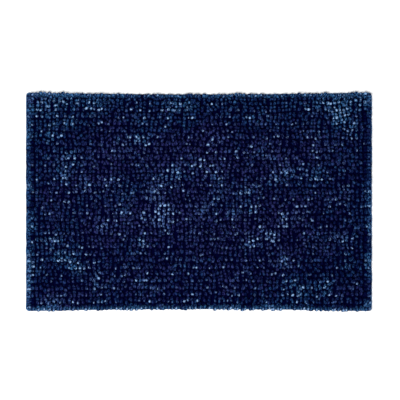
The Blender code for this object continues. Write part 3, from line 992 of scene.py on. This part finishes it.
def cotton_fibres():
    """Loose cotton fibres: fine noise drawn out along the yarn, with a coarser fluff over it."""
    group, given, out = new_group(
        "cotton_fibres",
        (("Yarn", "Vector", None), ("Place", "Vector", None), ("Fineness", "Float", 1.0)),
        (("Height", "Float"), ("Fleck", "Float")),
    )
    drawn = stretched(group, given["Yarn"], (26.0, 260.0, 1.0))
    strands = noise(group, drawn, given["Fineness"], 3.0, 0.6)
    fluff = noise(group, given["Place"], maths(group, "MULTIPLY", given["Fineness"], 520.0), 2.0, 0.6)
    feed(group, out["Height"], maths(group, "MULTIPLY_ADD", fluff, 0.6, strands))
    feed(group, out["Fleck"], remap(group, fluff, 0.32, 0.68))
    return group


def rubbed_dye():
    """Dye worn away: the worn colour shows where the amount beats a broken, fibrous threshold."""
    group, given, out = new_group(
        "rubbed_dye",
        (
            ("Dyed", "Color", (0.0, 0.0, 0.0, 1.0)),
            ("Worn", "Color", (0.5, 0.5, 0.5, 1.0)),
            ("Amount", "Float", 0.0),
            ("Fleck", "Float", 0.5),
        ),
        (("Color", "Color"), ("Wear", "Float")),
    )
    broken = maths(group, "MULTIPLY_ADD", given["Fleck"], 0.5, 0.75)
    wear = maths(group, "MULTIPLY", given["Amount"], broken, clamp=True)
    feed(group, out["Wear"], wear)
    feed(group, out["Color"], mix(group, wear, given["Dyed"], given["Worn"]))
    return group


def new_material(name, roughness, specular, sheen=0.0):
    """A material, its node tree and the inputs of its shader."""
    material = bpy.data.materials.new(name)
    material.use_nodes = True
    shader = material.node_tree.nodes["Principled BSDF"]
    shader.inputs["Roughness"].default_value = roughness
    shader.inputs["Specular IOR Level"].default_value = specular
    shader.inputs["Sheen Weight"].default_value = sheen
    shader.inputs["Sheen Roughness"].default_value = 0.5
    return material, material.node_tree, shader.inputs


def pile_material(groups):
    """Thick navy cotton yarn: dark at the root, violet to blue, washed teal and rubbed at the crown.

    The dark root is darker dye and painted shade, the downward-facing flanks and the ply grooves get
    painted shade, and on the outermost loops the washed teal is partly painted sheen.
    """
    material, tree, shader = new_material("pile_yarn", 0.95, specular=0.0)
    yarn = coordinates(tree, "UV")
    place = coordinates(tree, "Object")
    plies = place_group(tree, groups["plies"], Yarn=yarn, Plies=3.0, Turns_Per_Metre=170.0)
    fibres = place_group(tree, groups["fibres"], Yarn=yarn, Place=place, Fineness=1.0)
    strand = remap(tree, noise(tree, stretched(tree, yarn, (6.0, 280.0, 1.0)), 1.0, 1.0), 0.43, 0.57)
    dyed = mix(tree, value_of(tree, "violet"), DEEP_NAVY, DEEP_VIOLET)
    streaks = maths(tree, "MULTIPLY_ADD", strand, 1.1, 0.35)
    wash = maths(tree, "MULTIPLY", value_of(tree, "wash"), streaks, clamp=True)
    dyed = mix(tree, wash, dyed, mix(tree, value_of(tree, "violet"), WASHED_TEAL, WASHED_BLUE))
    dyed = mix(tree, maths(tree, "MULTIPLY_ADD", strand, -0.85, 0.85), dyed, DARK_NAVY_AND_SHADE)
    # The height value paints the dark root, darker dye and painted shade, and painted shade on downward
    # flanks.
    dyed = mix(tree, remap(tree, value_of(tree, "height"), 0.25, 0.95), DARK_NAVY_AND_SHADE, dyed)
    broken = maths(tree, "MULTIPLY_ADD", strand, 1.2, 0.5)
    amount = maths(tree, "MULTIPLY", value_of(tree, "rubbed"), broken)
    rubbed = place_group(
        tree,
        groups["dye"],
        Dyed=dyed,
        Worn=RUBBED_BLUE,
        Amount=remap(tree, amount, 0.05, 1.15),
        Fleck=fibres["Fleck"],
    )
    # Painted shade in the grooves between the plies.
    shade = maths(tree, "MULTIPLY", plies["Groove"], 0.45)
    feed(tree, shader["Base Color"], mix(tree, shade, rubbed["Color"], DARK_NAVY_AND_SHADE))
    relief = maths(tree, "MULTIPLY_ADD", fibres["Height"], 0.35, plies["Height"])
    feed(tree, shader["Normal"], bump(tree, relief, 0.0007))
    return material


def woven_threads():
    """A weave: the height is the larger of |sin warp sin over| and |cos weft cos across|.

    warp and weft are the place times the threads per metre times pi. over and across are the other
    one's phase divided by how many threads a float passes, so each set of threads is over in turn.
    """
    group, given, out = new_group(
        "woven_threads",
        (("Place", "Vector", None), ("Threads Per Metre", "Float", 1100.0), ("Float Length", "Float", 1.0)),
        (("Height", "Float"), ("Gap", "Float")),
    )
    split = group.nodes.new("ShaderNodeSeparateXYZ")
    feed(group, split.inputs[0], given["Place"])
    phase = maths(group, "MULTIPLY", given["Threads Per Metre"], math.pi)
    warp = maths(group, "MULTIPLY", split.outputs["X"], phase)
    weft = maths(group, "MULTIPLY", split.outputs["Y"], phase)
    over = maths(group, "DIVIDE", weft, given["Float Length"])
    across = maths(group, "DIVIDE", warp, given["Float Length"])
    warp_high = maths(group, "MULTIPLY", maths(group, "SINE", warp), maths(group, "SINE", over))
    warp_high = maths(group, "ABSOLUTE", warp_high)
    weft_high = maths(group, "MULTIPLY", maths(group, "COSINE", weft), maths(group, "COSINE", across))
    weft_high = maths(group, "ABSOLUTE", weft_high)
    height = maths(group, "MAXIMUM", warp_high, weft_high)
    feed(group, out["Height"], height)
    feed(group, out["Gap"], remap(group, height, 0.55, 0.15))
    return group


def cloth_material(groups):
    """Plain-woven navy cotton, washed teal and rubbed pale along its fold and its raw edge.

    The fold's pale band is partly painted sheen, and the gaps of the weave get painted shade.
    """
    material, tree, shader = new_material("base_cloth", 0.95, specular=0.0)
    place = coordinates(tree, "Object")
    weave = place_group(tree, groups["weave"], Place=place, Threads_Per_Metre=1000.0, Float_Length=1.0)
    fibres = place_group(tree, groups["fibres"], Yarn=place, Place=place, Fineness=1.0)
    wear = value_of(tree, "rubbed")
    dyed = mix(tree, remap(tree, wear, 0.05, 0.7), DARK_NAVY_AND_SHADE, WASHED_TEAL)
    rubbed = place_group(
        tree,
        groups["dye"],
        Dyed=dyed,
        Worn=RUBBED_BLUE,
        Amount=remap(tree, wear, 0.85, 1.6),
        Fleck=fibres["Fleck"],
    )
    # Painted shade in the gaps of the weave.
    shade = maths(tree, "MULTIPLY", weave["Gap"], 0.6)
    feed(tree, shader["Base Color"], mix(tree, shade, rubbed["Color"], DARK_NAVY_AND_SHADE))
    relief = maths(tree, "MULTIPLY_ADD", fibres["Height"], 0.25, weave["Height"])
    feed(tree, shader["Normal"], bump(tree, relief, 0.00025))
    return material


def thread_material(groups):
    """Two-ply sewing thread, a little shinier than the yarn."""
    material, tree, shader = new_material("sewing_thread", 0.6, specular=0.25, sheen=0.05)
    yarn = coordinates(tree, "UV")
    plies = place_group(tree, groups["plies"], Yarn=yarn, Plies=2.0, Turns_Per_Metre=1400.0)
    fibres = place_group(tree, groups["fibres"], Yarn=yarn, Place=coordinates(tree, "Object"), Fineness=3.0)
    worn = place_group(
        tree, groups["dye"], Dyed=THREAD_NAVY, Worn=WASHED_TEAL, Amount=0.5, Fleck=fibres["Fleck"]
    )
    # Painted shade in the grooves between the plies.
    shade = maths(tree, "MULTIPLY", plies["Groove"], 0.6)
    feed(tree, shader["Base Color"], mix(tree, shade, worn["Color"], DARK_NAVY_AND_SHADE))
    feed(tree, shader["Normal"], bump(tree, plies["Height"], 0.00008))
    return material


def latex_material():
    """Sprayed latex: pale, matt, pitted by small bubbles with painted shade in them, and scuffed grey in
    clouds.
    """
    material, tree, shader = new_material("latex", 0.7, specular=0.3)
    place = coordinates(tree, "Object")
    cloud = noise(tree, place, 22.0, 3.0)
    bubbles = tree.nodes.new("ShaderNodeTexVoronoi")
    feed(tree, bubbles.inputs["Vector"], place)
    bubbles.inputs["Scale"].default_value = 700.0
    pits = remap(tree, bubbles.outputs["Distance"], 0.05, 0.35)
    colour = mix(tree, remap(tree, cloud, 0.35, 0.7), LATEX_GREY, LATEX_DIRTY)
    # Painted shade in the bubble pits.
    colour = mix(tree, maths(tree, "MULTIPLY", maths(tree, "SUBTRACT", 1.0, pits), 0.5), colour, LATEX_PIT_SHADE)
    shown = maths(tree, "MULTIPLY", remap(tree, value_of(tree, "thin"), 0.35, 1.0), 0.55)
    colour = mix(tree, shown, colour, YARN_THROUGH_LATEX)
    feed(tree, shader["Base Color"], colour)
    feed(tree, shader["Roughness"], remap(tree, cloud, 0.3, 0.7, 0.62, 0.85))
    feed(tree, shader["Normal"], bump(tree, pits, 0.0002))
    return material


def label_material(groups):
    """White satin ribbon: long floats of fine thread, with a soft gloss and blank."""
    material, tree, shader = new_material("satin_label", 0.38, specular=0.5)
    place = coordinates(tree, "Object")
    weave = place_group(tree, groups["weave"], Place=place, Threads_Per_Metre=3200.0, Float_Length=4.0)
    tint = noise(tree, place, 60.0)
    colour = mix(tree, tint, SATIN, SATIN_AGED)
    # Painted shade in the gaps between the floats.
    shade = maths(tree, "MULTIPLY", weave["Gap"], 0.35)
    feed(tree, shader["Base Color"], mix(tree, shade, colour, SATIN_GAP_SHADE))
    feed(tree, shader["Normal"], bump(tree, weave["Height"], 0.00004))
    return material


# ---------------------------------------------------------------- floor, light and camera


def make_stage():
    """A pale floor just under the mat."""
    bpy.ops.mesh.primitive_plane_add(size=FLOOR_SIZE, location=(0, 0, FLOOR_LEVEL))
    floor = bpy.context.object
    floor.name = "floor"
    material, tree, shader = new_material("pale_floor", 0.8, specular=0.1)
    tint = noise(tree, coordinates(tree, "Object"), 3.0)
    feed(tree, shader["Base Color"], mix(tree, tint, FLOOR_GREY, FLOOR_WHITE))
    floor.data.materials.append(material)


def make_light():
    """An even, cool surround, and a large lamp above the mat that is tilted towards its middle."""
    scene = bpy.context.scene
    world = bpy.data.worlds.new("soft_surround")
    world.use_nodes = True
    background = world.node_tree.nodes["Background"]
    background.inputs["Color"].default_value = COOL_WHITE
    background.inputs["Strength"].default_value = SURROUND_STRENGTH
    scene.world = world
    lamp = bpy.data.lights.new("overhead_softbox", "AREA")
    lamp.shape = "RECTANGLE"
    lamp.size, lamp.size_y = LAMP_SIZE
    lamp.energy = LAMP_POWER
    x, y, z = LAMP_PLACE
    box = bpy.data.objects.new("overhead_softbox", lamp)
    box.location = LAMP_PLACE
    box.rotation_euler = (math.atan2(-y, z), math.atan2(x, z), 0)
    scene.collection.objects.link(box)
    scene.view_settings.view_transform = "Standard"
    scene.view_settings.look = "None"


def make_camera():
    """Straight above the mat, with a long lens. The view is VIEW_WIDTH wide at the top of the pile."""
    data = bpy.data.cameras.new("above")
    data.sensor_width = SENSOR_WIDTH
    data.lens = SENSOR_WIDTH * VIEW_DISTANCE / VIEW_WIDTH
    data.clip_end = 50.0
    camera = bpy.data.objects.new("above", data)
    camera.location = (*VIEW_CENTRE, PILE_TOP + VIEW_DISTANCE)
    bpy.context.scene.collection.objects.link(camera)
    bpy.context.scene.camera = camera


def main():
    """Makes the groups, the materials, the pieces, and then the stage, the light and the camera."""
    groups = {
        "plies": twisted_plies(),
        "fibres": cotton_fibres(),
        "dye": rubbed_dye(),
        "weave": woven_threads(),
    }
    yarn = pile_material(groups)
    loops = lay_loops()
    pile = [make_pile_piece(node, number, loops, yarn) for number, node in enumerate(PILE_NODES)]
    stitching = make_stitching(thread_material(groups))
    latex = make_latex(row_ends(), latex_material())
    cloth = make_cloth(cloth_material(groups))
    label = make_label(label_material(groups))
    make_stage()
    make_light()
    make_camera()


main()
